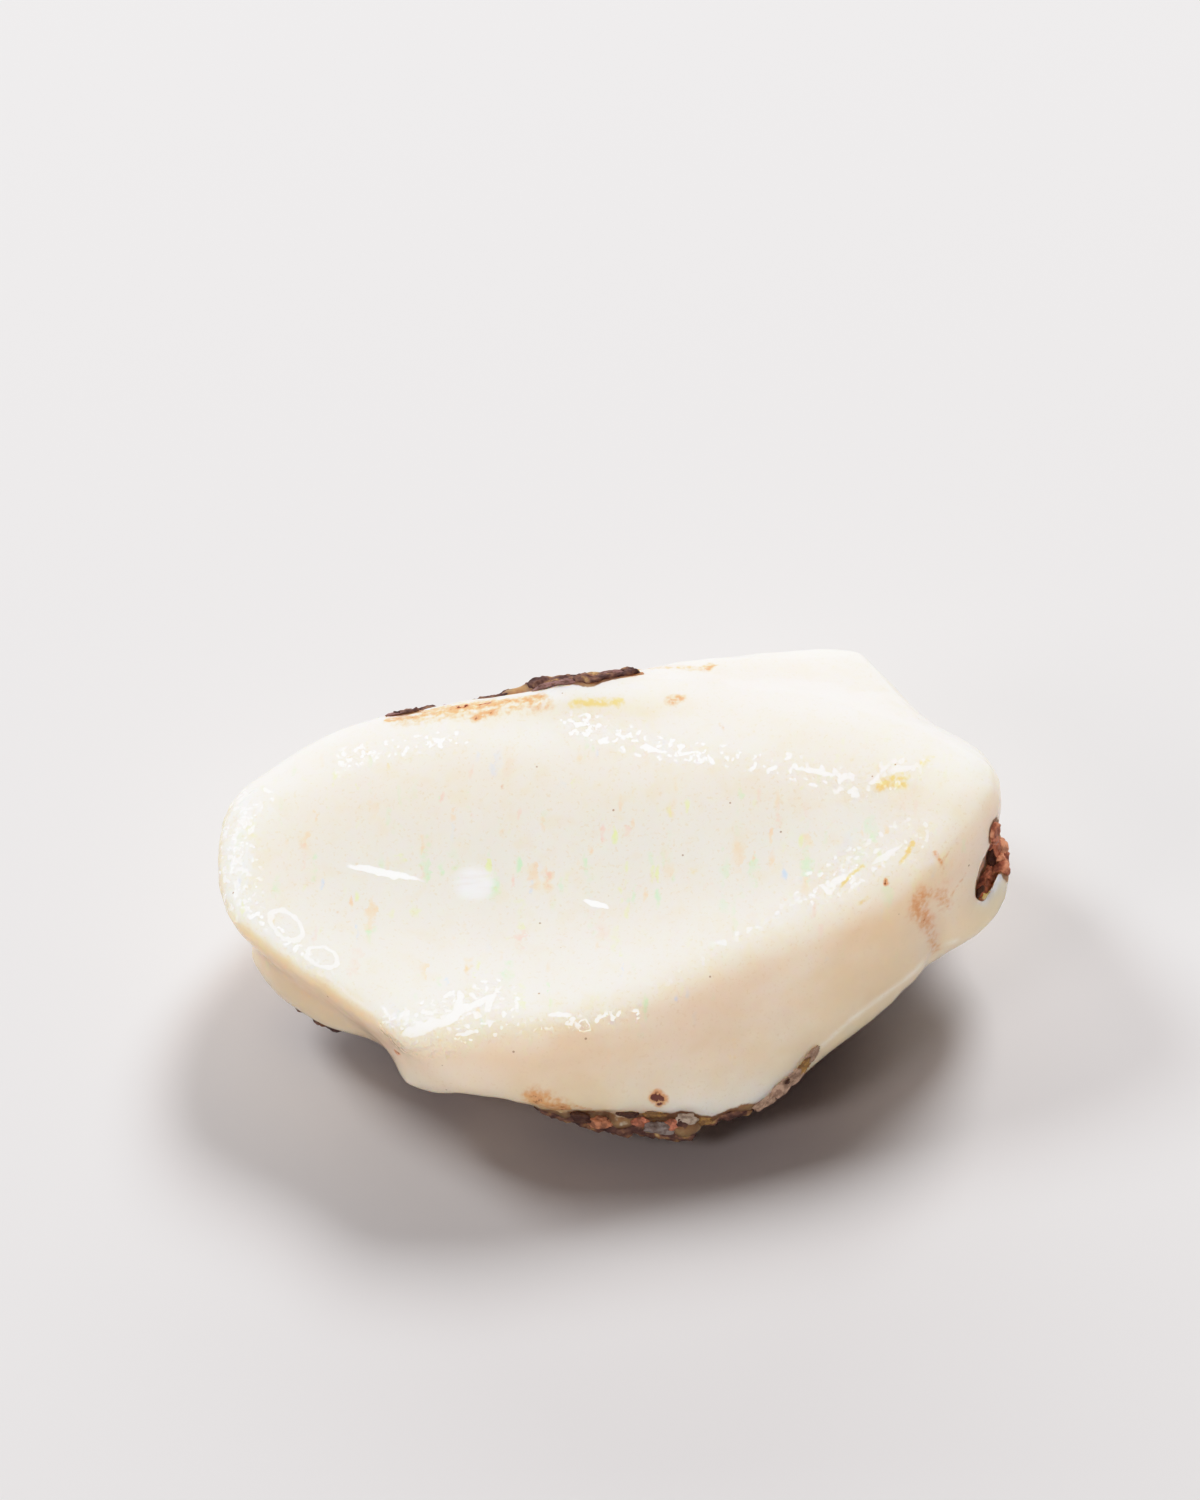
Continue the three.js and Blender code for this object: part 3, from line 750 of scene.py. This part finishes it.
bpy.ops.object.select_all(action="DESELECT")
pieces = []
for number, (across, up, half, turn, fragment_colour) in enumerate(fragments):
    middle = seen_at(stone_surface, across, up)[0]
    bpy.ops.mesh.primitive_ico_sphere_add(subdivisions=5, radius=1)
    fragment = bpy.context.active_object
    ball = points_of(fragment) * MM
    ball *= 1 + FRAGMENT_ROUGHNESS * grain(ball + number * 3.1, 0.9, octaves=4)[:, None]
    angle = math.radians(turn)
    sideways_axis = np.array(view_right * math.cos(angle) + view_up * math.sin(angle))
    upward_axis = np.array(view_up * math.cos(angle) - view_right * math.sin(angle))
    axes = np.array([sideways_axis, np.array(view_way), upward_axis])
    set_points(fragment, middle + (ball * np.array(half)) @ axes)
    tint = fragment.data.attributes.new("tint", "FLOAT_COLOR", "POINT")
    tint.data.foreach_set("color", np.tile((*fragment_colour, 1), len(ball)).astype(np.float32))
    pieces.append(fragment)
for piece in pieces:
    piece.select_set(True)
bpy.context.view_layer.objects.active = pieces[0]
bpy.ops.object.join()
grains = pieces[0]
grains.name = "rock_fragments"
grains.data.polygons.foreach_set("use_smooth", [True] * len(grains.data.polygons))

grain_material, grain_shader = make_material("rock_fragments", (0.4, 0.3, 0.2), 0.55)
tint_read = add_node(grain_material, "ShaderNodeAttribute", {"attribute_name": "tint"}).outputs["Color"]
patches = stepped(grain_material, cloud(grain_material, 0.5, 5.0), 0.42, 0.62)
grain_colour = over(grain_material, tint_read, (0.08, 0.035, 0.02), times(grain_material, patches, 0.6))
join(grain_material, grain_colour, grain_shader.inputs["Base Color"])
grain_bump = add_node(grain_material, "ShaderNodeBump", Height=cloud(grain_material, 0.22, 4.0), Strength=0.6,
                      Distance=0.15 * MM)
join(grain_material, grain_bump.outputs["Normal"], grain_shader.inputs["Normal"])
grains.data.materials.append(grain_material)
belongs_to_opal(grains)


# The floor, a plain pale sweep of matt card, and the studio round it.
bpy.ops.object.select_all(action="DESELECT")
bpy.ops.mesh.primitive_plane_add(size=4, location=(0, 0, 0))
floor = bpy.context.active_object
floor.name = "floor"
floor_material, floor_shader = make_material("pale_card", (0.94, 0.92, 0.925), 0.9)
floor_shader.inputs["Specular IOR Level"].default_value = 0.1
floor.data.materials.append(floor_material)


def add_light(name, place, size, power, colour=(1, 1, 1), shape="DISK", size_y=None, in_gloss=True):
    """A studio light that looks at the specimen. Its place and size are in metres, its power in watts."""
    lamp = bpy.data.lights.new(name, "AREA")
    lamp.shape = shape
    lamp.size = size
    if size_y:
        lamp.size_y = size_y
    lamp.energy = power
    lamp.color = colour
    light = bpy.data.objects.new(name, lamp)
    bpy.context.collection.objects.link(light)
    light.location = place
    aim = Vector((0, 0, 10 * MM))
    light.rotation_euler = (aim - place).to_track_quat("-Z", "Y").to_euler()
    light.visible_glossy = in_gloss
    return light


def round_about(around, up, distance):
    """A place round the specimen, from two angles in degrees and a distance in metres."""
    around, up = math.radians(around), math.radians(up)
    level = math.cos(up)
    return Vector((math.cos(around) * level, math.sin(around) * level, math.sin(up))) * distance


add_light("key", round_about(72, 40, 1.4), 0.53, 14.4, in_gloss=False)
add_light("left key", round_about(145, 41, 1.4), 0.47, 7.7)
add_light("left fill", round_about(212, 36, 1.4), 0.47, 2.4, colour=(1, 0.87, 0.84))
add_light("back glow", round_about(95, 14, 1.4), 1.4, 11.5, size_y=0.39, shape="RECTANGLE", in_gloss=False)
for_stone = [
    add_light("top fill", round_about(-95, 75, 0.8), 0.5, 1.6, in_gloss=False),
    add_light("front fill", round_about(-80, 30, 0.8), 0.5, 2.8, colour=(1, 0.95, 0.88), in_gloss=False),
    add_light("small lamp", SMALL_LAMP_WAY.normalized() * 0.7, 0.07, 0.42),
]

# The fills and the small lamp light the stone alone, and leave the shadow on the floor deep.
all_but_floor = bpy.data.collections.new("all_but_floor")
all_but_floor.objects.link(floor)
all_but_floor.collection_objects[0].light_linking.link_state = "EXCLUDE"
for light in for_stone:
    light.light_linking.receiver_collection = all_but_floor

world = bpy.data.worlds.new("studio")
bpy.context.scene.world = world
world.use_nodes = True
world.node_tree.nodes["Background"].inputs["Color"].default_value = (1.0, 0.80, 0.77, 1)
world.node_tree.nodes["Background"].inputs["Strength"].default_value = 0.05

# The picture holds its highlights back softly, as a camera does: a brightness, and how bright it shows.
BRIGHTEST = 4.0
SHOULDER = [(0.9, 0.82), (1.3, 0.93), (2.0, 0.985), (BRIGHTEST, 1.0)]
picture = bpy.context.scene.view_settings
picture.view_transform = "Standard"
picture.use_curve_mapping = True
curve = picture.curve_mapping
curve.use_clip = True
curve.clip_min_x = 0
curve.clip_min_y = 0
curve.clip_max_x = BRIGHTEST
curve.clip_max_y = BRIGHTEST
shoulder = curve.curves[3]
shoulder.points[0].location = (0, 0)
shoulder.points[1].location = (0.6, 0.6)
for bright, shown in SHOULDER:
    shoulder.points.new(bright, shown)
curve.update()


# The camera. It looks from the front, fifty degrees down, through a long lens.
LENS = 302.4
camera = bpy.data.objects.new("camera", bpy.data.cameras.new("camera"))
bpy.context.collection.objects.link(camera)
camera.location = eye * MM
camera.rotation_euler = (math.pi / 2 - VIEW_DOWN, 0, 0)
camera.data.sensor_width = 36
camera.data.lens = LENS
camera.data.clip_start = 0.05
bpy.context.scene.camera = camera
